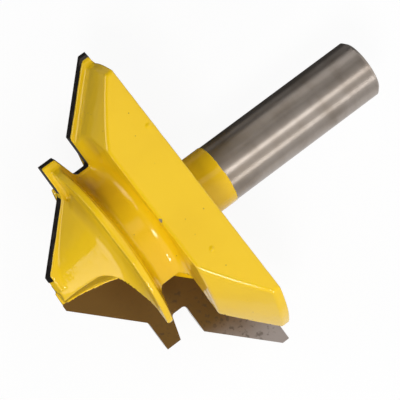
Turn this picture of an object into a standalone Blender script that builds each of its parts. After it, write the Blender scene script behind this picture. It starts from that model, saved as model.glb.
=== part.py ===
"""Lock miter router bit: a two-wing cutter with a 45 degree profile and a glue-lock tongue and groove.

The head, neck and shank are one piece of steel. A carbide plate is brazed in a seat on each wing.
The bit lies on one of the two flats of its head. +Z is up, +X runs along the axis to the shank end,
and the origin is on the table under the middle of the bit.

Places on the head are given by depth, from the top of the cutters towards the free end, by reach,
from the axis outwards along a cutter's face, and by back, from that face into the metal behind it.
"""

import bpy
import bmesh
from math import cos, pi, radians, sin, sqrt, tan
from mathutils import Matrix, Vector

MM = 0.001

# Shank and neck
SHANK_DIAMETER = 12.7 * MM
SHANK_LENGTH = 36.8 * MM
SHANK_CHAMFER = 0.7 * MM
NECK_DIAMETER = 12.95 * MM
NECK_LENGTH = 7.8 * MM
NECK_FILLET = 1.2 * MM

# Cutting outline. The 45 degree bevels run from the land down to the reach of the free end
CUTTING_DIAMETER = 70.0 * MM
FREE_END_REACH = 3.9 * MM
LAND_LENGTH = 1.6 * MM
LOCK_DEPTH = 17.0 * MM
LOCK_LENGTH = 8.0 * MM
LOCK_HEIGHT = 5.0 * MM
LOCK_SLANT = 1.5 * MM

# How far the turned head stays inside the cutting outline
TOP_SETBACK = 0.2 * MM
LAND_CLEARANCE = 2.5 * MM
BEVEL_CLEARANCE = 1.5 * MM
STEP_CLEARANCE = 2.3 * MM
GROOVE_CLEARANCE = 1.9 * MM
RING_CLEARANCE = 1.9 * MM
RING_SIDE_CLEARANCE = 1.2 * MM
TIP_CLEARANCE = 0.5 * MM
GROOVE_FILLET = 2.2 * MM

# Flats milled on both sides of the head
WIDTH_ACROSS_FLATS = 38.7 * MM
WING_TILT = radians(8.2)

# Gullets in front of the cutters. The floor of each rises towards the neck
FACE_OFFSET = 2.1 * MM
GULLET_WIDTH = 13.6 * MM
GULLET_TAPER = radians(2.9)
GULLET_FLOOR_REACH = 2.6 * MM
GULLET_FLOOR_TILT = radians(8.5)
GULLET_SWEEP_RADIUS = 34.0 * MM
GULLET_CORNER = 3.0 * MM

# Backing of the cutters, and the angles at which each side of it falls away behind the edge
BACKING_DEPTH = 2.4 * MM
BACKING_SLOPE = 0.046
LAND_RELIEF = radians(33.0)
BEVEL_RELIEF = radians(18.5)
LOCK_RELIEF = radians(18.5)
SIDE_RELIEF = radians(4.0)
TOP_RELIEF = radians(7.0)
TIP_RELIEF = radians(20.0)

# Carbide plates
PLATE_WIDTH = 10.0 * MM
PLATE_THICKNESS = 2.0 * MM
PLATE_HEEL_REACH = 2.5 * MM
BRAZE_GAP = 0.3 * MM

LATHE_STEPS = 96
ARC_STEPS = 6
GULLET_STATIONS = 14
OVERCUT = 3.0 * MM
SHARP_EDGE = radians(25.0)
MERGE_DISTANCE = 0.0001 * MM

FACE_REACH = sqrt((CUTTING_DIAMETER / 2) ** 2 - FACE_OFFSET**2)
BEVEL_SUM = FACE_REACH + LAND_LENGTH
CUTTING_LENGTH = BEVEL_SUM - FREE_END_REACH
OVERALL_LENGTH = CUTTING_LENGTH + NECK_LENGTH + SHANK_LENGTH - TOP_SETBACK
TOP_X = CUTTING_LENGTH - OVERALL_LENGTH / 2
AXIS_HEIGHT = WIDTH_ACROSS_FLATS / 2


def x_at(depth):
    """Place along the axis of a depth below the top of the cutters."""
    return TOP_X - depth


def material(name, colour, metallic, roughness):
    made = bpy.data.materials.new(name)
    made.use_nodes = True
    shader = made.node_tree.nodes["Principled BSDF"]
    shader.inputs["Base Color"].default_value = (*colour, 1.0)
    shader.inputs["Metallic"].default_value = metallic
    shader.inputs["Roughness"].default_value = roughness
    return made


def add_object(name, mesh, parent, turn=0.0):
    """An object carried by the bit's axis, turned about it."""
    made = bpy.data.objects.new(name, mesh)
    made.parent = parent
    made.rotation_euler = (turn, 0.0, 0.0)
    bpy.context.collection.objects.link(made)
    return made


def as_cutter(obj):
    obj.hide_render = True
    obj.display_type = "WIRE"
    return obj


def finish_mesh(name, bm):
    """Closes a bmesh into a mesh with its faces pointing out."""
    bmesh.ops.recalc_face_normals(bm, faces=bm.faces)
    mesh = bpy.data.meshes.new(name)
    bm.to_mesh(mesh)
    bm.free()
    return mesh


def rounded(corners):
    """Outline through (x, y, radius) corners, with an arc of that radius at each one that has a radius."""
    points = []
    for i, (x, y, radius) in enumerate(corners):
        if radius == 0:
            points.append((x, y))
            continue
        here = Vector((x, y))
        before = Vector(corners[i - 1][:2]) - here
        after = Vector(corners[i + 1][:2]) - here
        half = before.angle(after) / 2
        reach = radius / tan(half)
        middle = here + (before.normalized() + after.normalized()).normalized() * radius / sin(half)
        start = here + before.normalized() * reach - middle
        end = here + after.normalized() * reach - middle
        sweep = end.angle_signed(start)
        for k in range(ARC_STEPS + 1):
            spoke = start.copy()
            spoke.rotate(Matrix.Rotation(sweep * k / ARC_STEPS, 2))
            points.append(tuple(middle + spoke))
    return points


def lathe(name, outline):
    """Turned solid from (x, radius) points that start and end on the X axis."""
    bm = bmesh.new()
    verts = [bm.verts.new((x, radius, 0.0)) for x, radius in outline]
    edges = [bm.edges.new(pair) for pair in zip(verts, verts[1:])]
    bmesh.ops.spin(
        bm,
        geom=verts + edges,
        axis=(1, 0, 0),
        cent=(0, 0, 0),
        angle=2 * pi,
        steps=LATHE_STEPS,
        use_merge=False,
    )
    bmesh.ops.remove_doubles(bm, verts=bm.verts, dist=MERGE_DISTANCE)
    return finish_mesh(name, bm)


def at_face(depth, reach, back):
    """Point of a wing from its depth, reach and back. The face is tilted and stands behind the axis."""
    across = Vector((0.0, cos(WING_TILT), sin(WING_TILT)))
    behind = Vector((0.0, -sin(WING_TILT), cos(WING_TILT)))
    return Vector((x_at(depth), 0.0, 0.0)) + across * reach + behind * (FACE_OFFSET + back)


def loft(name, rings):
    """Solid through rings of points, all with the same count, closed by the first and the last ring."""
    bm = bmesh.new()
    rows = [[bm.verts.new(point) for point in ring] for ring in rings]
    for ring in (rows[0], rows[-1]):
        bm.faces.new(ring)
    for row, following in zip(rows, rows[1:]):
        for i in range(len(row)):
            bm.faces.new((row[i - 1], row[i], following[i], following[i - 1]))
    bm.normal_update()
    bmesh.ops.triangulate(bm, faces=bm.faces)
    return finish_mesh(name, bm)


def cutting_outline():
    """(depth, reach) of the cutting edge's corners, from the top of the land to the free end.

    The tongue and the groove are one shape turned half round the middle of the lock, which lies on
    the line of the bevels.
    """
    middle = BEVEL_SUM - LOCK_DEPTH
    half_length, half_height, half_slant = LOCK_LENGTH / 2, LOCK_HEIGHT / 2, LOCK_SLANT / 2
    return [
        (0.0, FACE_REACH),
        (LAND_LENGTH, FACE_REACH),
        (LOCK_DEPTH - half_length, middle + half_length),
        (LOCK_DEPTH - half_length, middle - half_height),
        (LOCK_DEPTH - half_slant, middle - half_height),
        (LOCK_DEPTH + half_slant, middle + half_height),
        (LOCK_DEPTH + half_length, middle + half_height),
        (LOCK_DEPTH + half_length, middle - half_length),
        (CUTTING_LENGTH, FREE_END_REACH),
    ]


EDGE_RELIEFS = [
    LAND_RELIEF,
    BEVEL_RELIEF,
    SIDE_RELIEF,
    LOCK_RELIEF,
    SIDE_RELIEF,
    LOCK_RELIEF,
    SIDE_RELIEF,
    BEVEL_RELIEF,
    TIP_RELIEF,
]


def line_crossing(point_a, along_a, point_b, along_b):
    """Where two lines of the plane cross, each given by a point and a direction."""
    cross = along_a.x * along_b.y - along_a.y * along_b.x
    gap = point_b - point_a
    return point_a + along_a * ((gap.x * along_b.y - gap.y * along_b.x) / cross)


def fall(outline, reliefs):
    """How each corner of a closed outline moves for every unit behind the face, as its sides are relieved."""
    corners = [Vector(corner) for corner in outline]
    sides = []
    for i, corner in enumerate(corners):
        along = (corners[(i + 1) % len(corners)] - corner).normalized()
        inward = Vector((along.y, -along.x))
        sides.append((corner + inward * tan(reliefs[i]) * MM, along))
    return [(line_crossing(*sides[i - 1], *sides[i]) - corner) / MM for i, corner in enumerate(corners)]


def relieved_block(name, outline, reliefs, front, heel, heel_slope):
    """Solid between an outline set at one back and a heel plane whose back grows with reach."""
    rings = [[], []]
    for (depth, reach), move in zip(outline, fall(outline, reliefs)):
        rear = (heel + heel_slope * reach) / (1 - heel_slope * move.y)
        for ring, back in zip(rings, (front, rear)):
            ring.append(at_face(depth + move.x * back, reach + move.y * back, back))
    return loft(name, rings)


def turned_outline():
    """(x, radius) of the head, neck and shank, from the free end to the shank end."""
    edge = cutting_outline()
    bevel_sum = BEVEL_SUM - BEVEL_CLEARANCE * sqrt(2)
    head_radius = CUTTING_DIAMETER / 2 - LAND_CLEARANCE
    step_depth = edge[2][0] - STEP_CLEARANCE
    groove_radius = edge[3][1] - GROOVE_CLEARANCE
    ring_radius = edge[5][1] - RING_CLEARANCE
    ring_free_side = edge[6][0] - RING_SIDE_CLEARANCE
    slant_run = LOCK_SLANT / LOCK_HEIGHT
    ring_near_side = edge[5][0] + RING_SIDE_CLEARANCE - slant_run * (edge[5][1] - ring_radius)
    groove_end = ring_near_side - slant_run * (ring_radius - groove_radius)
    tip_depth = CUTTING_LENGTH - TIP_CLEARANCE
    neck_radius = NECK_DIAMETER / 2
    shank_radius = SHANK_DIAMETER / 2
    corners = [
        (tip_depth, 0.0, 0.0),
        (tip_depth, bevel_sum - tip_depth, 0.0),
        (ring_free_side, bevel_sum - ring_free_side, GROOVE_FILLET),
        (ring_free_side, ring_radius, 0.0),
        (ring_near_side, ring_radius, 0.0),
        (groove_end, groove_radius, GROOVE_FILLET),
        (step_depth, groove_radius, GROOVE_FILLET),
        (step_depth, bevel_sum - step_depth, 0.0),
        (bevel_sum - head_radius, head_radius, 0.0),
        (TOP_SETBACK, head_radius, 0.0),
        (TOP_SETBACK, neck_radius, NECK_FILLET),
        (TOP_SETBACK - NECK_LENGTH, neck_radius, 0.0),
        (TOP_SETBACK - NECK_LENGTH, shank_radius, 0.0),
        (CUTTING_LENGTH - OVERALL_LENGTH + SHANK_CHAMFER, shank_radius, 0.0),
        (CUTTING_LENGTH - OVERALL_LENGTH, shank_radius - SHANK_CHAMFER, 0.0),
        (CUTTING_LENGTH - OVERALL_LENGTH, 0.0, 0.0),
    ]
    return [(x_at(depth), radius) for depth, radius in rounded(corners)]


def backing_mesh():
    """The wing's steel behind the plate. It starts inside the seat's thickness and ends at its heel."""
    outline = cutting_outline()
    top_reach = BEVEL_SUM - PLATE_WIDTH * sqrt(2)
    outline += [(outline[-1][0], 0.0), (TOP_SETBACK + OVERCUT, top_reach - 2 * OVERCUT), (0.0, top_reach)]
    reliefs = EDGE_RELIEFS + [0.0, 0.0, TOP_RELIEF]
    return relieved_block("backing", outline, reliefs, PLATE_THICKNESS / 2, BACKING_DEPTH, BACKING_SLOPE)


def plate_outline(grow=0.0):
    """(depth, reach) round a carbide plate, or round its seat when grown."""
    inner_sum = BEVEL_SUM - (PLATE_WIDTH + grow) * sqrt(2)
    heel = PLATE_HEEL_REACH - grow
    return [(CUTTING_LENGTH, heel), (inner_sum - heel, heel), (0.0, inner_sum)]


def plate_mesh():
    """A carbide plate: the cutting outline on its face, relieved on its cutting sides, square on its seat."""
    outline = cutting_outline() + plate_outline()
    reliefs = EDGE_RELIEFS + [0.0, 0.0, TOP_RELIEF]
    return relieved_block("carbide_plate", outline, reliefs, 0.0, PLATE_THICKNESS, 0.0)


def seat_mesh():
    """The seat milled for a plate, with room for the braze on its two inner sides and behind it."""
    (_, heel), (turn_depth, _), (_, top_reach) = plate_outline(BRAZE_GAP)
    far, high = FACE_REACH + OVERCUT, CUTTING_LENGTH + OVERCUT
    ring = [(-OVERCUT, far), (high, far), (high, heel), (turn_depth, heel), (-OVERCUT, top_reach + OVERCUT)]
    backs = (-OVERCUT, PLATE_THICKNESS + BRAZE_GAP)
    return loft("seat", [[at_face(depth, reach, back) for depth, reach in ring] for back in backs])


def gullet_section(floor_reach):
    """(reach, back) round the gullet where its floor meets the cutter's face at a given reach.

    The floor leans towards the axis as it leaves the face, and a corner of one radius joins it to the
    wall, which closes in on the face with reach.
    """
    far = CUTTING_DIAMETER / 2 + OVERCUT
    lean, taper = tan(GULLET_FLOOR_TILT), tan(GULLET_TAPER)
    foot = line_crossing(
        Vector((floor_reach, 0.0)), Vector((-lean, -1.0)), Vector((0.0, -GULLET_WIDTH)), Vector((1.0, taper))
    )
    corners = [
        (far, 0.0, 0.0),
        (floor_reach, 0.0, 0.0),
        (foot.x, foot.y, GULLET_CORNER),
        (far, far * taper - GULLET_WIDTH, 0.0),
    ]
    return rounded(corners)


def gullet_mesh():
    """The slot in front of a face. Its floor is level at the free end and rises with the square of the run."""
    start, end = CUTTING_LENGTH, -TOP_SETBACK - OVERCUT
    rings = [(start + OVERCUT, GULLET_FLOOR_REACH)]
    for k in range(GULLET_STATIONS + 1):
        run = (start - end) * k / GULLET_STATIONS
        rings.append((start - run, GULLET_FLOOR_REACH + run**2 / (2 * GULLET_SWEEP_RADIUS)))
    return loft(
        "gullet",
        [[at_face(depth, reach, back) for reach, back in gullet_section(floor)] for depth, floor in rings],
    )


def flat_mesh():
    """What is milled off above the upper flat."""
    bm = bmesh.new()
    size = Vector((CUTTING_LENGTH + 2 * OVERCUT, CUTTING_DIAMETER, CUTTING_DIAMETER / 2))
    middle = Vector((x_at(CUTTING_LENGTH / 2 + OVERCUT / 2), 0.0, AXIS_HEIGHT + size.z / 2))
    bmesh.ops.create_cube(bm, size=1.0, matrix=Matrix.Translation(middle) @ Matrix.Diagonal((*size, 1.0)))
    return finish_mesh("flat", bm)


def cut(obj, name, operation, other):
    modifier = obj.modifiers.new(name, "BOOLEAN")
    modifier.operation = operation
    modifier.solver = "EXACT"
    modifier.object = other


def build():
    for old in list(bpy.data.objects):
        bpy.data.objects.remove(old)

    paint = material("yellow_paint", (0.80, 0.50, 0.02), 0.0, 0.25)
    steel = material("ground_steel", (0.42, 0.41, 0.40), 1.0, 0.3)
    carbide = material("carbide", (0.10, 0.08, 0.07), 1.0, 0.35)

    axis = bpy.data.objects.new("bit_axis", None)
    axis.location = (0.0, 0.0, AXIS_HEIGHT)
    bpy.context.collection.objects.link(axis)

    body_mesh = lathe("cutter_body", turned_outline())
    body_mesh.materials.append(paint)
    body_mesh.materials.append(steel)
    paint_line = x_at(TOP_SETBACK - NECK_LENGTH)
    for face in body_mesh.polygons:
        face.material_index = int(face.center.x > paint_line)
    body_mesh.shade_smooth()
    body_mesh.set_sharp_from_angle(angle=SHARP_EDGE)
    body = add_object("cutter_body", body_mesh, axis)

    backing, seat, plate = backing_mesh(), seat_mesh(), plate_mesh()
    gullet, flat = gullet_mesh(), flat_mesh()
    plate.materials.append(carbide)
    for wing, turn in (("a", 0.0), ("b", pi)):
        cut(body, "add backing " + wing, "UNION", as_cutter(add_object("backing_" + wing, backing, axis, turn)))
    for wing, turn in (("a", 0.0), ("b", pi)):
        cut(body, "mill gullet " + wing, "DIFFERENCE", as_cutter(add_object("gullet_" + wing, gullet, axis, turn)))
        cut(body, "mill seat " + wing, "DIFFERENCE", as_cutter(add_object("seat_" + wing, seat, axis, turn)))
        cut(body, "mill flat " + wing, "DIFFERENCE", as_cutter(add_object("flat_" + wing, flat, axis, turn)))
        add_object("carbide_tip_" + wing, plate, axis, turn)


build()
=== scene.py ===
from math import cos, pi, radians, sin, sqrt, tan

import bpy
import numpy as np
from mathutils import Matrix, Vector


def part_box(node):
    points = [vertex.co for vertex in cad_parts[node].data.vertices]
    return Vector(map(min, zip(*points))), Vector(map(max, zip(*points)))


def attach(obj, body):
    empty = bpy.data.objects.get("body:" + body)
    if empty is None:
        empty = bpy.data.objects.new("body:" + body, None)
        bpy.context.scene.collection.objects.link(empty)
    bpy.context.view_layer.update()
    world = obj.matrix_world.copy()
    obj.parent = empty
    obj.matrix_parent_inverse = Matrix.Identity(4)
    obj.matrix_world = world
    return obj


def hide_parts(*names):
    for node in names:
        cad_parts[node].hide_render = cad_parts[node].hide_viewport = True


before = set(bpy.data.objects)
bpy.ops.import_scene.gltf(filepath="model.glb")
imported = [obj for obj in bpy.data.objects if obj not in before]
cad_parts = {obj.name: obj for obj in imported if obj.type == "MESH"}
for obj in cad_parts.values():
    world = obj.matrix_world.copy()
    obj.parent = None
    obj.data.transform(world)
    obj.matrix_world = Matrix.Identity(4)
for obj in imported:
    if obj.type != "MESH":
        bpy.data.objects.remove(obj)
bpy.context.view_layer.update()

# The painted head and neck of the cutter body. They are one piece of steel with the shank: turned,
# milled with two flats, two gullets and a rib behind each cutter, then sprayed with a thick yellow
# enamel that rounds the outer edges and fills the inner corners.

MM = 0.001

TOP_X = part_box("carbide_tip_a")[1].x
FREE_END_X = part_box("carbide_tip_a")[0].x
AXIS_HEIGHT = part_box("cutter_body")[1].z / 2

CUTTING_DIAMETER = 70.0 * MM
CUTTING_LENGTH = TOP_X - FREE_END_X
LAND_LENGTH = 1.6 * MM
LOCK_DEPTH = 17.0 * MM
LOCK_LENGTH = 8.0 * MM
LOCK_HEIGHT = 5.0 * MM
LOCK_SLANT = 1.5 * MM
WING_TILT = radians(8.2)
FACE_OFFSET = 2.1 * MM
FACE_REACH = sqrt((CUTTING_DIAMETER / 2) ** 2 - FACE_OFFSET**2)
BEVEL_SUM = FACE_REACH + LAND_LENGTH
LOCK_MIDDLE = BEVEL_SUM - LOCK_DEPTH
SIDES = ("land", "bevel", "step", "floor", "slant", "crest", "flank", "tip", "top")

# How far the turned head stays inside the cutting outline, and the relief of each side of the ribs.
TURNED_CLEARANCE = dict(zip(SIDES, np.array([2.5, 1.5, 2.3, 1.9, 1.2, 1.9, 1.2, 0.5, 0.2]) * MM))
RELIEF = dict(zip(SIDES, np.radians([33.0, 18.5, 4.0, 18.5, 4.0, 18.5, 4.0, 20.0, 7.0])))

RIB_DEPTH = 2.15 * MM
RIB_SLOPE = 0.012
RIB_FOOT = 0.7 * MM
FLUSH_FOOT = 0.3 * MM
GROOVE_RAMP = 0.9
GROOVE_RAMP_START = 2.2 * MM
GROOVE_RAMP_BEND = 0.8 * MM
RIB_SUNK = 0.35 * MM
RIB_SUNK_FADE = (1.5 * MM, 3.0 * MM)
GROOVE_FILLET = 2.2 * MM
TONGUE_FILLET = 1.0 * MM
CORNER_FILLET = 0.6 * MM
FILLET_GROWTH = (2.0 * MM, 7.0 * MM)
EDGE_RADIUS = 0.3 * MM
FLAT_EDGE_RADIUS = 0.45 * MM

NECK_DIAMETER = 12.95 * MM
NECK_LENGTH = 7.8 * MM
PAINT_LINE_X = TOP_X - TURNED_CLEARANCE["top"] + NECK_LENGTH
NECK_FILLET = 1.2 * MM
NECK_ROOT = 8.0 * MM
PAINT_LINE_RADIUS = 0.1 * MM

GULLET_WIDTH = 13.6 * MM
GULLET_TAPER = radians(2.9)
GULLET_FLOOR_REACH = 2.6 * MM
GULLET_FLOOR_TILT = radians(8.5)
GULLET_SWEEP_RADIUS = 34.0 * MM
GULLET_CORNER = 3.0 * MM
GULLET_FOOT = 0.25 * MM

# The enamel stops on each side of a cutter at this distance behind its face, where it stands proud.
PAINT_START = dict(zip(SIDES, np.array([1.5, 1.7, 1.7, 1.7, 1.7, 1.7, 1.7, 1.7, 1.0]) * MM))
PAINT_RAMP = 0.5 * MM
PAINT_PROUD = 0.03 * MM
PAINT_SUNK = 0.05 * MM
FACE_SUNK = 0.03 * MM

# The sprayed enamel is never quite even: it stands up and down over a few millimetres.
PAINT_WAVE = 0.012 * MM
PAINT_WAVE_LENGTHS = np.array([2.6, 3.3, 4.1, 5.3, 6.7, 9.0]) * MM
PAINT_EDGE_WAVE = 0.07 * MM
PAINT_WAVE_FADE = (1.0 * MM, 3.0 * MM)

CELL = 0.34 * MM


def round_max(a, b, radius):
    """Distance to what two shapes share: the larger distance, with the outer edge rounded by a radius."""
    corner = np.hypot(np.maximum(a + radius, 0), np.maximum(b + radius, 0))
    return np.minimum(np.maximum(a, b), -radius) + corner


def round_min(a, b, radius):
    """Distance to two shapes joined: the smaller distance, with the inner corner filled by a radius."""
    return -round_max(-a, -b, radius)


def lock_profile(depth, reach, side, edge, fillet):
    """Distance to the lock miter profile, from half planes in depth and reach.

    side() moves and tilts the half plane of a named side. The bevel and the land share a block, the
    tongue joins it, and the groove, the free end and the top are cut from it.
    """
    half_length, half_height = LOCK_LENGTH / 2, LOCK_HEIGHT / 2
    slope = LOCK_SLANT / LOCK_HEIGHT
    slant = (depth - LOCK_DEPTH - slope * (reach - LOCK_MIDDLE)) / sqrt(1 + slope**2)
    bevel = side((depth + reach - BEVEL_SUM) / sqrt(2), "bevel")
    block = round_max(bevel, side(reach - FACE_REACH, "land"), edge)
    crest = side(reach - LOCK_MIDDLE - half_height, "crest")
    tongue = round_max(side(-slant, "slant"), side(depth - LOCK_DEPTH - half_length, "flank"), edge)
    block = round_min(block, round_max(tongue, crest, edge), fillet)
    floor = side(reach - LOCK_MIDDLE + half_height, "floor")
    groove = round_min(side(depth - LOCK_DEPTH + half_length, "step"), floor, fillet)
    groove = round_min(groove, side(-slant, "slant"), np.minimum(fillet, TONGUE_FILLET))
    block = round_max(block, groove, edge)
    block = round_max(block, side(depth - CUTTING_LENGTH, "tip"), edge)
    return round_max(block, side(-depth, "top"), edge)


def paint_wave(x, y, z):
    """Uneven height between about -1 and 1: a sum of sine waves, each along a direction of its own."""
    chance = np.random.default_rng(7)
    total = 0
    for length in PAINT_WAVE_LENGTHS:
        way = chance.normal(size=3)
        way *= 2 * pi / (length * np.linalg.norm(way))
        total = total + np.sin(way[0] * x + way[1] * y + way[2] * z + chance.uniform(0, 2 * pi))
    return total / sqrt(len(PAINT_WAVE_LENGTHS))


def smooth_step(value, low, high):
    """0 below low, 1 above high, and the smooth cubic step between."""
    share = np.clip((value - low) / (high - low), 0, 1)
    return share * share * (3 - 2 * share)


def cone_share(depth):
    """0 up to the tongue, 1 on the cone of the free end, with a smooth step between."""
    return smooth_step(depth, LOCK_DEPTH + LOCK_LENGTH / 2 - 1 * MM, LOCK_DEPTH + LOCK_LENGTH / 2)


def turned_clearance(name, depth, behind):
    """How far a side of the turned head lies inside the profile, at a way round behind the cutter's face.

    The groove and the cone of the free end start at the rib's own relief and run down to their full
    clearance by an exponential law. The other sides have it all the way round.
    """
    full = TURNED_CLEARANCE[name]
    if name not in ("step", "floor", "slant", "bevel"):
        return full
    fall = behind * tan(RELIEF[name]) + RIB_SUNK * (1 - smooth_step(behind, *RIB_SUNK_FADE))
    if name != "bevel":
        past = np.maximum(behind - GROOVE_RAMP_START, 0)
        fall = fall + GROOVE_RAMP * (np.hypot(past, GROOVE_RAMP_BEND) - GROOVE_RAMP_BEND)
    relieved = full * (1 - np.exp(-fall / full))
    return relieved if name != "bevel" else full + cone_share(depth) * (relieved - full)


def turned_distance(depth, radius, behind):
    """Distance to the turned head and neck: the profile with its clearances, and the neck's cylinder."""

    def side(distance, name):
        return distance + turned_clearance(name, depth, behind)

    fillet = CORNER_FILLET + (GROOVE_FILLET - CORNER_FILLET) * smooth_step(behind, *FILLET_GROWTH)
    head = lock_profile(depth, radius, side, EDGE_RADIUS, fillet)
    neck = round_max(radius - NECK_DIAMETER / 2, TOP_X - depth - PAINT_LINE_X, PAINT_LINE_RADIUS)
    neck = np.maximum(neck, depth - NECK_ROOT)
    return round_min(head, neck, NECK_FILLET)


def rib_distance(depth, reach, back, edge_wave):
    """Distance to the rib behind a cutter: the profile with each side relieved, and a sloping heel.

    Beside the carbide the steel lies a little under its surface, and past the edge of the paint it
    stands a little over it.
    """

    def side(distance, name):
        start = PAINT_START[name] + edge_wave
        painted = smooth_step(back, start, start + PAINT_RAMP)
        skin = PAINT_SUNK - painted * (PAINT_SUNK + PAINT_PROUD)
        return (distance + skin + back * tan(RELIEF[name])) * cos(RELIEF[name])

    profile = lock_profile(depth, reach, side, EDGE_RADIUS, CORNER_FILLET)
    heel = (back - RIB_DEPTH - RIB_SLOPE * reach) / sqrt(1 + RIB_SLOPE**2)
    rib = round_max(profile, heel, EDGE_RADIUS)
    return np.maximum(rib, np.maximum(FACE_SUNK - back, -reach))


def gullet_distance(depth, reach, back):
    """Distance to the slot in front of a cutter: its face, far wall, and floor that rises to the neck."""
    run = np.maximum(CUTTING_LENGTH - depth, 0)
    floor = GULLET_FLOOR_REACH + run**2 / (2 * GULLET_SWEEP_RADIUS) + tan(GULLET_FLOOR_TILT) * back - reach
    floor = floor / np.sqrt(1 + tan(GULLET_FLOOR_TILT) ** 2 + (run / GULLET_SWEEP_RADIUS) ** 2)
    wall = (reach * tan(GULLET_TAPER) - GULLET_WIDTH - back) * cos(GULLET_TAPER)
    return round_max(round_max(floor, wall, GULLET_CORNER), back - FACE_SUNK, GULLET_FOOT)


def head_distance(x, y, z):
    """Distance to the painted steel: the turned head and two ribs, less two gullets and two flats."""
    depth, height = TOP_X - x, z - AXIS_HEIGHT
    radius = np.hypot(y, height)
    reach = y * cos(WING_TILT) + height * sin(WING_TILT)
    lift = height * cos(WING_TILT) - y * sin(WING_TILT)
    behind = radius * np.mod(np.arctan2(lift - FACE_OFFSET * np.sign(lift), reach), pi)
    steel = turned_distance(depth, radius, behind)
    wings = (reach, lift - FACE_OFFSET), (-reach, -lift - FACE_OFFSET)
    groove_start = LOCK_DEPTH - LOCK_LENGTH / 2
    in_groove = smooth_step(depth, groove_start - 1.5 * MM, groove_start)
    on_tongue = smooth_step(depth, LOCK_DEPTH, LOCK_DEPTH + 1 * MM) * (1 - cone_share(depth))
    foot = RIB_FOOT + (FLUSH_FOOT - RIB_FOOT) * in_groove * (1 - on_tongue)
    wave = paint_wave(x, y, z)
    for reach, back in wings:
        steel = round_min(steel, rib_distance(depth, reach, back, PAINT_EDGE_WAVE * wave), foot)
    for reach, back in wings:
        steel = round_max(steel, -gullet_distance(depth, reach, back), EDGE_RADIUS)
    steel = steel + PAINT_WAVE * (1 + wave) * smooth_step(behind, *PAINT_WAVE_FADE)
    flats = np.abs(height) - AXIS_HEIGHT + PAINT_WAVE * (1 + wave) / 2
    return round_max(steel, flats, FLAT_EDGE_RADIUS)


def downhill(distance, points, step):
    """Direction and rate in which a distance grows fastest, from its change over a small step."""
    offsets = np.eye(3) * step
    changes = [distance(*(points + off).T) - distance(*(points - off).T) for off in offsets]
    return np.stack(changes, axis=1) / (2 * step)


def skin_of(distance, low, high, cell):
    """Points and quads on the zero of a distance in a box, and the surface's direction at each point.

    Each cell of a grid that the surface crosses gets one point, the mean of the crossings on its
    edges, and each grid edge that it crosses gets one quad, between its four cells. The points then
    slide on to the surface along the distance's slope.
    """
    counts = np.ceil((np.array(high) - low) / cell).astype(int) + 1
    axes = [start + cell * np.arange(count) for start, count in zip(low, counts)]
    values = distance(*np.meshgrid(*axes, indexing="ij", sparse=True)).astype(np.float64)
    inside = values < 0
    cell_counts = counts - 1
    total = np.zeros((cell_counts.prod(), 3))
    hits = np.zeros(cell_counts.prod())
    quads = []
    for axis in range(3):
        others = [(axis + 1) % 3, (axis + 2) % 3]
        near = [slice(None)] * 3
        far = [slice(None)] * 3
        near[axis], far[axis] = slice(None, -1), slice(1, None)
        leaves = inside[tuple(near)] != inside[tuple(far)]
        corner = np.argwhere(leaves)
        before = values[tuple(near)][leaves]
        after = values[tuple(far)][leaves]
        crossing = corner.astype(float)
        crossing[:, axis] += before / (before - after)
        around = []
        for step_a, step_b in ((0, 0), (1, 0), (1, 1), (0, 1)):
            owner = corner.copy()
            owner[:, others[0]] -= step_a
            owner[:, others[1]] -= step_b
            flat = np.ravel_multi_index(owner.T, cell_counts)
            around.append(flat)
            hits += np.bincount(flat, minlength=len(hits))
            for k in range(3):
                total[:, k] += np.bincount(flat, crossing[:, k], minlength=len(hits))
        around = np.stack(around, axis=1)
        inward = before > 0
        around[inward] = around[inward][:, ::-1]
        quads.append(around)
    used = np.flatnonzero(hits)
    number = np.zeros(len(hits), int)
    number[used] = np.arange(len(used))
    points = np.array(low) + cell * total[used] / hits[used, None]
    for _ in range(4):
        slope = downhill(distance, points, 0.02 * cell)
        points -= (distance(*points.T) / np.maximum((slope**2).sum(1), 0.2))[:, None] * slope
    slope = downhill(distance, points, 0.1 * cell)
    return points, number[np.concatenate(quads)], slope / np.linalg.norm(slope, axis=1, keepdims=True)


def mesh_object(name, points, faces):
    """An object at the origin whose mesh has these points, an array, and these faces, a list."""
    mesh = bpy.data.meshes.new(name)
    mesh.from_pydata(points.tolist(), [], faces)
    made = bpy.data.objects.new(name, mesh)
    bpy.context.scene.collection.objects.link(made)
    return made


head_low = (FREE_END_X - 2 * CELL, -CUTTING_DIAMETER / 2, -2 * CELL)
head_high = (PAINT_LINE_X + 2 * CELL, CUTTING_DIAMETER / 2, 2 * AXIS_HEIGHT + 2 * CELL)
head_points, head_quads, head_directions = skin_of(head_distance, head_low, head_high, CELL)
painted_head = mesh_object("painted_head", head_points, head_quads.tolist())
painted_head.data.shade_smooth()
painted_head.data.normals_split_custom_set_from_vertices(head_directions.tolist())
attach(painted_head, "root")
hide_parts("cutter_body")


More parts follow.
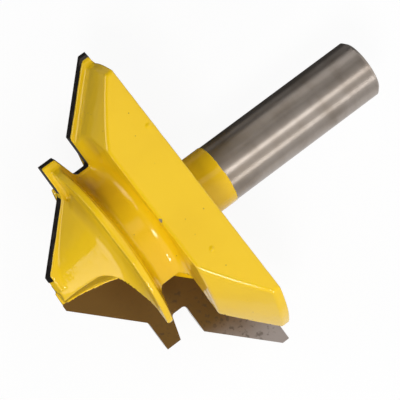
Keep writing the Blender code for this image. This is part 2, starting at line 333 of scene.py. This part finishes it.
class Wire:
    """An output of a node in a material. Arithmetic on wires and numbers adds Math nodes."""

    def __init__(self, tree, socket=None):
        self.tree = tree
        self.socket = socket

    def node(self, kind, output=0, stops=(), sockets=None, **settings):
        """A new node of a kind, with its settings and colour stops set before its sockets."""
        made = self.tree.nodes.new("ShaderNode" + kind)
        for name, value in settings.items():
            setattr(made, name, value)
        if stops:
            ramp = made.color_ramp.elements
            while len(ramp) < len(stops):
                ramp.new(0.5)
            for element, (place, colour) in zip(ramp, stops):
                element.position = place
                element.color = colour
        for name, value in (sockets or {}).items():
            if isinstance(value, Wire):
                self.tree.links.new(value.socket, made.inputs[name])
            else:
                made.inputs[name].default_value = value
        return Wire(self.tree, made.outputs[output])

    def maths(self, operation, first, second):
        return self.node("Math", operation=operation, sockets={0: first, 1: second})

    def __add__(self, other):
        return self.maths("ADD", self, other)

    def __radd__(self, other):
        return self.maths("ADD", other, self)

    def __sub__(self, other):
        return self.maths("SUBTRACT", self, other)

    def __rsub__(self, other):
        return self.maths("SUBTRACT", other, self)

    def __mul__(self, other):
        return self.maths("MULTIPLY", self, other)

    def __rmul__(self, other):
        return self.maths("MULTIPLY", other, self)

    def __abs__(self):
        return self.maths("ABSOLUTE", self, 0.0)

    def above(self, low, high):
        """0 below low, 1 above high, and a smooth step between."""
        sockets = {"Value": self, "From Min": low, "From Max": high}
        return self.node("MapRange", interpolation_type="SMOOTHSTEP", sockets=sockets)

    def below(self, low, high):
        return 1 - self.above(low, high)

    def noise(self, size, detail=2.0, squeeze=(1.0, 1.0, 1.0)):
        """Noise from 0 to 1 with features of a size in metres, on this place squeezed along each axis."""
        place = self.node("VectorMath", operation="MULTIPLY", sockets={0: self, 1: squeeze})
        sockets = {"Vector": place, "Scale": 1 / size, "Detail": detail}
        return self.node("TexNoise", sockets=sockets)

    def speck(self, spacing, radius):
        """1 within a radius of points that are strewn at a spacing, and 0 elsewhere."""
        sockets = {"Vector": self, "Scale": 1 / spacing}
        return self.node("TexVoronoi", sockets=sockets).below(0.5 * radius / spacing, radius / spacing)

    def spot(self, centre, radius):
        """1 at a point, falling to 0 at a radius from it."""
        gap = self.node("VectorMath", output="Value", operation="DISTANCE", sockets={0: self, 1: centre})
        return gap.below(0.0, radius)

    def mix(self, low, high):
        """A colour between two, by this share."""
        sockets = {"Factor": self, "A": low, "B": high}
        return self.node("Mix", output="Result", data_type="RGBA", sockets=sockets)

    def relief(self, height):
        """A normal, bumped by a height in metres."""
        return self.node("Bump", sockets={"Height": height, "Distance": 1.0, "Strength": 1.0})


def new_finish(name, **constants):
    """A material, its shader, and a wire that holds the piece's own coordinates."""
    made = bpy.data.materials.new(name)
    made.use_nodes = True
    shader = made.node_tree.nodes["Principled BSDF"]
    for socket, value in constants.items():
        shader.inputs[socket.replace("_", " ")].default_value = value
    place = Wire(made.node_tree).node("TexCoord", output="Object")
    return made, shader, place


def connect(wire, shader, name):
    wire.tree.links.new(wire.socket, shader.inputs[name])


# Glossy yellow enamel with a slight orange peel, which is stronger on the cone. It has dust and a few
# grains under it, two pimples on the upper flat and a chip on the flat's edge. Round two points in the
# groove beside the tongue its colour is painted darker, as painted shade.
ENAMEL = (0.80, 0.512, 0.008, 1.0)
ENAMEL_DEEP = (0.77, 0.485, 0.006, 1.0)
ENAMEL_PAINTED_SHADE = (0.50, 0.27, 0.001, 1.0)
PAINTED_SHADE_AT = ((-0.0225, 0.0075, 0.0275), (-0.0225, -0.0075, 0.0112))
PAINTED_SHADE_RADIUS = 10 * MM
CONE_START_X = -26.5 * MM
DUST = (0.30, 0.19, 0.03, 1.0)
DUST_SPACING = 2.6 * MM
DUST_RADIUS = 0.16 * MM
GRAINS_AT = (
    (-0.0146, 0.0177, 0.0379),
    (-0.0117, -0.0264, 0.0304),
    (-0.0118, -0.0166, 0.0387),
    (-0.0138, 0.0231, 0.0323),
    (-0.0138, 0.0223, 0.0338),
)
GRAIN_RADIUS = 0.22 * MM
BARE_CHIP = (0.20, 0.17, 0.14, 1.0)
CHIP_AT = (-0.0165, -0.0025, 0.0384)
CHIP_RADIUS = 0.75 * MM
CHIP_DEPTH = 0.06 * MM
PIMPLES_AT = ((-0.0120, -0.0126, 0.0387), (-0.0072, 0.0133, 0.0387))
PIMPLE_RADIUS = 0.7 * MM
PIMPLE_HEIGHT = 0.16 * MM
DUST_HEIGHT = 0.02 * MM

# The peel is layers of noise: the width of a layer's bumps, their detail and their height.
PEEL_LAYERS = ((1.3 * MM, 2.0, 0.016 * MM), (5 * MM, 0.0, 0.03 * MM), (2.4 * MM, 1.0, 0.035 * MM))
CONE_PEEL = (1.7 * MM, 3.0, 0.03 * MM)

enamel, enamel_shader, enamel_place = new_finish(
    "yellow_enamel", Roughness=0.1, IOR=1.5, Specular_IOR_Level=0.4
)
on_cone = enamel_place.node("SeparateXYZ", output="X", sockets={0: enamel_place})
on_cone = on_cone.below(CONE_START_X - 1 * MM, CONE_START_X)
dust = enamel_place.speck(DUST_SPACING, DUST_RADIUS) * enamel_place.noise(9 * MM).above(0.42, 0.5)
for grain_at in GRAINS_AT:
    dust = dust + enamel_place.spot(grain_at, GRAIN_RADIUS) * 0.8
chip = enamel_place.spot(CHIP_AT, CHIP_RADIUS).above(0.25, 0.5)
colour = enamel_place.noise(14 * MM, detail=3.0).above(0.35, 0.7).mix(ENAMEL, ENAMEL_DEEP)
# Painted shade: the enamel is darkened round two points in the groove beside the tongue, off the cone.
for painted_shade_at in PAINTED_SHADE_AT:
    painted_shade = enamel_place.spot(painted_shade_at, PAINTED_SHADE_RADIUS) * (1 - on_cone)
    colour = painted_shade.mix(colour, ENAMEL_PAINTED_SHADE)
colour = dust.mix(colour, DUST)
colour = chip.mix(colour, BARE_CHIP)
width, detail, height = CONE_PEEL
peel = enamel_place.noise(width, detail) * on_cone * height
for width, detail, height in PEEL_LAYERS:
    peel = peel + enamel_place.noise(width, detail) * height
for pimple_at in PIMPLES_AT:
    peel = peel + enamel_place.spot(pimple_at, PIMPLE_RADIUS) * PIMPLE_HEIGHT
peel = peel - chip * CHIP_DEPTH + dust * DUST_HEIGHT
dulled = enamel_place.noise(6 * MM).above(0.3, 0.75) * 0.07 + 0.07
connect(colour, enamel_shader, "Base Color")
connect(dulled + chip * 0.4, enamel_shader, "Roughness")
connect(enamel_place.relief(peel), enamel_shader, "Normal")
painted_head.data.materials.append(enamel)

# The bare shank: the same bar of steel as the head, left unpainted and ground round to fit a router's
# collet, with a chamfered end.

SHANK_DIAMETER = 12.7 * MM
SHANK_CHAMFER = 0.7 * MM
SHANK_END_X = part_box("cutter_body")[1].x
SHANK_UNDER_PAINT = 1.0 * MM
SHANK_STEPS = 256


def turned_piece(name, outline, steps):
    """A piece turned about the bit's axis: each point of the outline runs round a full circle."""
    x, radius = np.array(outline).T
    angle = np.linspace(0, 2 * pi, steps, endpoint=False)
    across, up = radius[:, None] * np.cos(angle), radius[:, None] * np.sin(angle)
    ring = np.stack(np.broadcast_arrays(x[:, None], across, up), -1)
    points = np.concatenate([ring.reshape(-1, 3), [[x[0], 0, 0], [x[-1], 0, 0]]])
    index = np.arange(len(x) * steps).reshape(len(x), steps)
    right = np.roll(index, -1, axis=1)
    quads = np.stack([index[:-1], right[:-1], right[1:], index[1:]], -1).reshape(-1, 4)
    first, last = len(x) * steps, len(x) * steps + 1
    start_cap = np.stack([right[0], index[0], np.full(steps, first)], -1)
    end_cap = np.stack([index[-1], right[-1], np.full(steps, last)], -1)
    faces = quads.tolist() + start_cap.tolist() + end_cap.tolist()
    return mesh_object(name, points + (0, 0, AXIS_HEIGHT), faces)


shank_radius = SHANK_DIAMETER / 2
shank_outline = [
    (PAINT_LINE_X - SHANK_UNDER_PAINT, shank_radius),
    (SHANK_END_X - SHANK_CHAMFER, shank_radius),
    (SHANK_END_X, shank_radius - SHANK_CHAMFER),
]
bare_shank = turned_piece("bare_shank", shank_outline, SHANK_STEPS)
bare_shank.data.shade_smooth()
bare_shank.data.set_sharp_from_angle(angle=radians(30))

# The shader takes the way that its gloss is drawn out from the mesh's texture space. With the middle of
# that space far to one side, the way runs along the shank's axis.
bare_shank.data.use_auto_texspace = False
bare_shank.data.texspace_location = (0, -1, 0)
bare_shank.data.texspace_size = (1, 1, 1)
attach(bare_shank, "root")
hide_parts("cutter_body")

# Steel ground round and round: fine lines about the axis, and faint brown stains of handling.
GROUND_STEEL = (0.46, 0.405, 0.36, 1.0)
STAINED_STEEL = (0.36, 0.30, 0.25, 1.0)

ground_steel, steel_shader, steel_place = new_finish("ground_steel", Metallic=1.0, Anisotropic=1.0)
lines = steel_place.noise(0.12 * MM, detail=3.0, squeeze=(1.0, 0.03, 0.03))
bands = steel_place.noise(1.6 * MM, squeeze=(1.0, 0.1, 0.1))
stains = steel_place.noise(7 * MM, detail=4.0).above(0.45, 0.75) * 0.7 + bands.above(0.4, 0.8) * 0.2
connect(stains.mix(GROUND_STEEL, STAINED_STEEL), steel_shader, "Base Color")
connect(lines * 0.10 + stains * 0.08 + 0.41, steel_shader, "Roughness")
connect(steel_place.relief(lines * (0.0025 * MM)), steel_shader, "Normal")
bare_shank.data.materials.append(ground_steel)

# The two cutters: plates of tungsten carbide, brazed into the seats of the ribs and then ground to the
# lock miter profile, with a relief behind each of its sides.

PLATE_THICKNESS = 2.0 * MM
PLATE_WIDTH = 10.0 * MM
PLATE_HEEL_REACH = 2.5 * MM
FREE_END_REACH = BEVEL_SUM - CUTTING_LENGTH
PLATE_RELIEF = {**RELIEF, "tip": radians(10.0)}
PLATE_RADII = np.array([0.05, 0.05, 0.05, 0.8, 0.7, 0.1, 0.08, 0.6, 0.05, 0.4, 0.4, 0.4]) * MM
ARC_POINTS = 7
POLISHED_SIDES = (2, 4, 6)


def plate_corners(back):
    """Corners of the plate's outline at each distance behind its face.

    Each side of the outline moves inwards as its relief says, and a corner is where two sides meet.
    """
    half_length, half_height, half_slant = LOCK_LENGTH / 2, LOCK_HEIGHT / 2, LOCK_SLANT / 2
    inner_sum = BEVEL_SUM - PLATE_WIDTH * sqrt(2)
    corners = np.array([
        (0.0, FACE_REACH),
        (LAND_LENGTH, FACE_REACH),
        (LOCK_DEPTH - half_length, LOCK_MIDDLE + half_length),
        (LOCK_DEPTH - half_length, LOCK_MIDDLE - half_height),
        (LOCK_DEPTH - half_slant, LOCK_MIDDLE - half_height),
        (LOCK_DEPTH + half_slant, LOCK_MIDDLE + half_height),
        (LOCK_DEPTH + half_length, LOCK_MIDDLE + half_height),
        (LOCK_DEPTH + half_length, LOCK_MIDDLE - half_length),
        (CUTTING_LENGTH, FREE_END_REACH),
        (CUTTING_LENGTH, PLATE_HEEL_REACH),
        (inner_sum - PLATE_HEEL_REACH, PLATE_HEEL_REACH),
        (0.0, inner_sum),
    ])
    sides = ["land", "bevel", "step", "floor", "slant", "crest", "flank", "bevel", "tip"]
    relief = np.append([tan(PLATE_RELIEF[name]) for name in sides], [0.0, 0.0, tan(PLATE_RELIEF["top"])])
    along = np.roll(corners, -1, axis=0) - corners
    along /= np.linalg.norm(along, axis=1, keepdims=True)
    inward = np.stack([along[:, 1], -along[:, 0]], axis=1)
    shift = relief[None, :] * back[:, None]
    start = corners + inward * shift[..., None]
    before, before_along = np.roll(start, 1, axis=1), np.roll(along, 1, axis=0)
    gap = start - before
    cross = before_along[:, 0] * along[:, 1] - before_along[:, 1] * along[:, 0]
    reach = (gap[..., 0] * along[:, 1] - gap[..., 1] * along[:, 0]) / cross
    return before + before_along * reach[..., None]


def round_corners(corners, radius, count):
    """Each corner as an arc of its radius, tangent to both sides, with a count of points.

    A point of the arc is its centre plus a blend of the ways to the arc's two ends, weighted by the
    sines of the turns that are left to each.
    """
    before = np.roll(corners, 1, axis=-2) - corners
    after = np.roll(corners, -1, axis=-2) - corners
    before /= np.linalg.norm(before, axis=-1, keepdims=True)
    after /= np.linalg.norm(after, axis=-1, keepdims=True)
    half = np.arccos(np.clip((before * after).sum(-1), -1, 1)) / 2
    middle_way = before + after
    middle_way /= np.linalg.norm(middle_way, axis=-1, keepdims=True)
    centre = corners + middle_way * (radius / np.sin(half))[..., None]
    start = corners + before * (radius / np.tan(half))[..., None] - centre
    end = corners + after * (radius / np.tan(half))[..., None] - centre
    turn = pi - 2 * half
    share = np.linspace(0, 1, count)
    blend_start = np.sin((1 - share) * turn[..., None]) / np.sin(turn)[..., None]
    blend_end = np.sin(share * turn[..., None]) / np.sin(turn)[..., None]
    from_start = blend_start[..., None] * start[..., None, :]
    from_end = blend_end[..., None] * end[..., None, :]
    arc = centre[..., None, :] + from_start + from_end
    return arc.reshape(*corners.shape[:-2], -1, 2)


def placed_on_wing(depth, reach, back, turn):
    """Points of the part from their depth, reach and back on wing a, or on wing b half a turn on."""
    y = reach * cos(WING_TILT) - (FACE_OFFSET + back) * sin(WING_TILT)
    height = reach * sin(WING_TILT) + (FACE_OFFSET + back) * cos(WING_TILT)
    return np.stack([TOP_X - depth, turn * y, AXIS_HEIGHT + turn * height], axis=-1)


plate_backs = np.array([0.0, 0.025, 0.25, 0.5, 0.75, 1.0]) * PLATE_THICKNESS
plate_rows = round_corners(plate_corners(plate_backs), PLATE_RADII, ARC_POINTS)


def plate_piece(name, turn):
    """A plate: its rounded outline carried back along the wing, closed by a face and a seat side."""
    rows, count = plate_rows.shape[:2]
    points = placed_on_wing(plate_rows[..., 0], plate_rows[..., 1], plate_backs[:, None], turn)
    index = np.arange(rows * count).reshape(rows, count)
    right = np.roll(index, -1, axis=1)
    quads = np.stack([index[:-1], index[1:], right[1:], right[:-1]], -1).reshape(-1, 4)
    faces = [index[0].tolist(), index[-1][::-1].tolist()] + quads.tolist()
    made = mesh_object(name, points.reshape(-1, 3), faces)
    made.data.shade_smooth()
    made.data.set_sharp_from_angle(angle=radians(20))
    return made


def wing_place(place):
    """Reach along a wing and lift over the wings' middle plane at a place, the same on both wings."""
    split = place.node("SeparateXYZ", output="Y", sockets={0: place})
    y, height = split, Wire(place.tree, split.socket.node.outputs["Z"]) - AXIS_HEIGHT
    reach = abs(y * cos(WING_TILT) + height * sin(WING_TILT))
    return reach, abs(height * cos(WING_TILT) - y * sin(WING_TILT))


# The rake faces are ground bright, and the heat of brazing leaves them mottled near the axis. Towards the
# axis they turn brown, partly braze stain and partly a painted reflection of the yellow gullet wall.
BRIGHT_CARBIDE = (0.46, 0.39, 0.35, 1.0)
BROWN_STAIN_AND_REFLECTION = (0.160, 0.086, 0.024, 1.0)
CARBIDE_STAIN = (0.06, 0.042, 0.026, 1.0)
TONGUE_STAIN_AT = (-0.0255, -0.0182, 0.0146)

rake_finish, rake_shader, rake_place = new_finish("ground_carbide", Metallic=1.0)
reach, lift = wing_place(rake_place)
# Browner towards the axis: partly braze stain, partly painted reflection of the yellow gullet wall.
brown_stain_and_reflection = (reach + rake_place.noise(8 * MM) * (6 * MM)).below(24 * MM, 37 * MM)
bevel_end = rake_place.node("SeparateXYZ", output="X", sockets={0: rake_place}).above(-26 * MM, -20 * MM)
mottled = rake_place.noise(6 * MM).above(0.30, 0.52) * (bevel_end * 0.7 + 0.1)
mottled = mottled + rake_place.spot(TONGUE_STAIN_AT, 2.6 * MM) * 0.8
mottle = rake_place.noise(0.9 * MM, detail=4.0).above(0.52, 0.66) * mottled * 0.8
marks = rake_place.noise(0.15 * MM, detail=2.0, squeeze=(1.0, 0.05, 1.0))
connect(mottle.mix(brown_stain_and_reflection.mix(BRIGHT_CARBIDE, BROWN_STAIN_AND_REFLECTION), CARBIDE_STAIN), rake_shader, "Base Color")
connect(marks * 0.1 + brown_stain_and_reflection * 0.1 + mottle * 0.15 + 0.26, rake_shader, "Roughness")
connect(rake_place.relief(marks * (0.003 * MM)), rake_shader, "Normal")

# The flanks are ground fine and dark, and lighter behind the land and where braze has run on them.
DARK_CARBIDE = (0.011, 0.009, 0.008, 1.0)
GREY_CARBIDE = (0.085, 0.070, 0.058, 1.0)

flank_finish, flank_shader, flank_place = new_finish(
    "dark_carbide", Roughness=0.45, Specular_IOR_Level=0.06
)
reach, lift = wing_place(flank_place)
behind_land = (lift - FACE_OFFSET).above(0.95 * MM, 1.05 * MM) * reach.above(33 * MM, 33.6 * MM)
smear = flank_place.noise(2.2 * MM, detail=3.0).above(0.5, 0.75) * 0.35
lines = flank_place.noise(0.12 * MM, squeeze=(0.05, 0.05, 1.0))
connect((behind_land * 0.7 + smear).mix(DARK_CARBIDE, GREY_CARBIDE), flank_shader, "Base Color")
connect(flank_place.relief(lines * (0.004 * MM)), flank_shader, "Normal")

# The narrow sides of the groove and the tongue are polished, and smeared here and there.
POLISHED_CARBIDE = (0.42, 0.40, 0.39, 1.0)
SMEARED_CARBIDE = (0.16, 0.14, 0.12, 1.0)

side_finish, side_shader, side_place = new_finish("polished_carbide", Metallic=1.0, Roughness=0.25)
smear = side_place.noise(1.5 * MM, detail=3.0).above(0.45, 0.7)
connect(smear.mix(POLISHED_CARBIDE, SMEARED_CARBIDE), side_shader, "Base Color")

for wing, turn in (("a", 1), ("b", -1)):
    cutter = plate_piece("cutter_" + wing, turn)
    for finish in (rake_finish, flank_finish, side_finish):
        cutter.data.materials.append(finish)
    finish_number = np.ones(len(cutter.data.polygons), int)
    finish_number[0] = 0
    around = np.tile(np.arange(plate_rows.shape[1]) // ARC_POINTS, plate_rows.shape[0] - 1)
    finish_number[2:][np.isin(around, POLISHED_SIDES)] = 2
    cutter.data.polygons.foreach_set("material_index", finish_number)
    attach(cutter, "root")
    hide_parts("carbide_tip_" + wing)

# The table under the bit: white paper. The camera sees it glowing nearly white, and it keeps a faint
# shadow of the bit. Glass or metal that mirrors the paper sees painted light, brightest close in front
# of the bit, and painted shade close behind it; to the light that it bounces, the paper is near black.

FLOOR_HALF = 1.5
PAPER_WHITE = (0.85, 0.85, 0.85, 1.0)
PAPER_PAINTED_SHADE_UNSEEN = (0.07, 0.07, 0.07, 1.0)
PAPER_SEEN = 0.91
PAPER_PAINTED_LIGHT_RADIUS = 0.07
PAPER_PAINTED_LIGHT_CLOSE = 1.5
PAPER_PAINTED_LIGHT_FAR = 0.7
PAPER_PAINTED_FAR_LIGHT = 0.2
PAPER_PAINTED_LIGHT_EDGE = (-5 * MM, 20 * MM)
PAPER_PAINTED_LIGHT_SLANT = 0.3

floor_corners = np.array([(-1, -1, 0), (1, -1, 0), (1, 1, 0), (-1, 1, 0)]) * FLOOR_HALF
floor = mesh_object("floor", floor_corners, [(0, 1, 2, 3)])
paper, paper_shader, paper_place = new_finish("white_paper", Roughness=0.8)
seen = paper_place.node("LightPath", output="Is Camera Ray")
rays = seen.socket.node.outputs
mirrored = Wire(seen.tree, rays["Is Glossy Ray"]) + Wire(seen.tree, rays["Is Transmission Ray"])
paper_x = paper_place.node("SeparateXYZ", output="X", sockets={0: paper_place})
paper_y = Wire(paper_x.tree, paper_x.socket.node.outputs["Y"])
slanted = paper_x.maths("MINIMUM", paper_x, 0.0) * PAPER_PAINTED_LIGHT_SLANT
# Painted light and shade, seen only in what mirrors the paper: a glow brightest close in front of the bit,
# none close behind it, and a little far behind it.
painted_light_side = (slanted - paper_y).above(*PAPER_PAINTED_LIGHT_EDGE)
away = paper_place.node("VectorMath", output="Value", operation="LENGTH", sockets={0: paper_place})
close = away.below(PAPER_PAINTED_LIGHT_RADIUS - 2 * MM, PAPER_PAINTED_LIGHT_RADIUS + 2 * MM)
painted_light = painted_light_side * (close * (PAPER_PAINTED_LIGHT_CLOSE - PAPER_PAINTED_LIGHT_FAR) + PAPER_PAINTED_LIGHT_FAR)
painted_far_light = (1 - painted_light_side) * (1 - close) * PAPER_PAINTED_FAR_LIGHT
glow = paper_place.node("Emission", sockets={"Color": (1.0, 1.0, 1.0, 1.0), "Strength": 1.0})
plain = Wire(paper.node_tree, paper_shader.outputs[0])
glowing = seen * PAPER_SEEN + mirrored * (painted_light + painted_far_light)
surface = paper_place.node("MixShader", sockets={0: glowing, 1: plain, 2: glow})
# Painted shade: to every ray but the camera's, the paper is near black.
connect(seen.mix(PAPER_PAINTED_SHADE_UNSEEN, PAPER_WHITE), paper_shader, "Base Color")
connect(surface, paper.node_tree.nodes["Material Output"], "Surface")
floor.data.materials.append(paper)

# The room round the table, which is dim and has a few bright sides. Each row is the way to a side, the
# cosine of the angle from it at which its light begins, and its brightness.
ROOM_DIM = 0.09
ROOM_SIDES = (
    ((0.19, 0.09, 0.98), 0.98, 0.85),
    ((-0.97, -0.10, 0.22), 0.1, 0.12),
    ((0.97, 0.0, 0.25), 0.5, 1.45),
    ((-0.20, -0.92, 0.34), 0.1, 0.84),
    ((-0.61, 0.72, 0.33), 0.92, 3.60),
)

world = bpy.data.worlds.new("studio")
world.use_nodes = True
background = world.node_tree.nodes["Background"]
way = Wire(world.node_tree).node("TexCoord", output="Generated")
brightness = ROOM_DIM
for side_way, begins, share in ROOM_SIDES:
    sockets = {0: way, 1: side_way}
    towards = way.node("VectorMath", output="Value", operation="DOT_PRODUCT", sockets=sockets)
    brightness = towards.above(begins, 1.0) * share + brightness
connect(brightness, background, "Strength")
background.inputs["Color"].default_value = (1.0, 1.0, 1.0, 1.0)
bpy.context.scene.world = world

# The lamps: three soft ones over the table, each a pair of tubes, and a low window at the free end,
# whose light shows only in what mirrors it.


def soft_lamp(name, place, width, height, power, aim=(0, 0, 0)):
    """A rectangular lamp at a place, turned to a point, with its height upright."""
    light = bpy.data.lights.new(name, "AREA")
    light.shape = "RECTANGLE"
    light.size = width
    light.size_y = height
    light.energy = power
    lamp = bpy.data.objects.new(name, light)
    lamp.location = place
    lamp.rotation_euler = (Vector(place) - Vector(aim)).to_track_quat("Z", "Y").to_euler()
    bpy.context.scene.collection.objects.link(lamp)
    return lamp


def tube_lamp(name, place, width, height, power):
    """A lamp of two tubes, one over the other, turned to the bit."""
    over = Vector(place).cross(Vector((0, 0, 1)).cross(Vector(place))).normalized() * height / 3
    soft_lamp(name + "_upper", Vector(place) + over, width, height / 3, power / 2)
    soft_lamp(name + "_lower", Vector(place) - over, width, height / 3, power / 2)


tube_lamp("lamp_over", (-0.32, -0.24, 0.69), 0.15, 0.15, 2.1)
tube_lamp("lamp_front", (-0.12, -0.69, 0.37), 0.15, 0.15, 1.35)
tube_lamp("lamp_back", (-0.45, 0.33, 0.56), 0.13, 0.13, 0.20)
window = soft_lamp("window_low", (-0.135, -0.012, 0.026), 0.085, 0.048, 0.030, (-0.03, -0.008, 0.02))
window.visible_diffuse = False
window.visible_camera = False

# The camera looks down on the bit from the photograph's angle and distance, through a long lens.
CAMERA_AIM = Vector((-4.378, -2.043, 19.35)) * MM
CAMERA_DISTANCE = 408.2 * MM
CAMERA_AZIMUTH = radians(-154.246)
CAMERA_ELEVATION = radians(77.899)
CAMERA_ROLL = radians(27.0)
camera_data = bpy.data.cameras.new("camera")
camera_data.sensor_width = 36.0
camera_data.lens = 185.68
camera_data.clip_start = 0.01
camera = bpy.data.objects.new("camera", camera_data)
camera_back = Vector((
    cos(CAMERA_ELEVATION) * cos(CAMERA_AZIMUTH),
    cos(CAMERA_ELEVATION) * sin(CAMERA_AZIMUTH),
    sin(CAMERA_ELEVATION),
))
camera.location = CAMERA_AIM + camera_back * CAMERA_DISTANCE
camera_turn = camera_back.to_track_quat("Z", "Y").to_matrix()
camera.rotation_euler = (camera_turn @ Matrix.Rotation(CAMERA_ROLL, 3, "Z")).to_euler()
bpy.context.scene.collection.objects.link(camera)
bpy.context.scene.camera = camera
bpy.context.scene.view_settings.view_transform = "Standard"
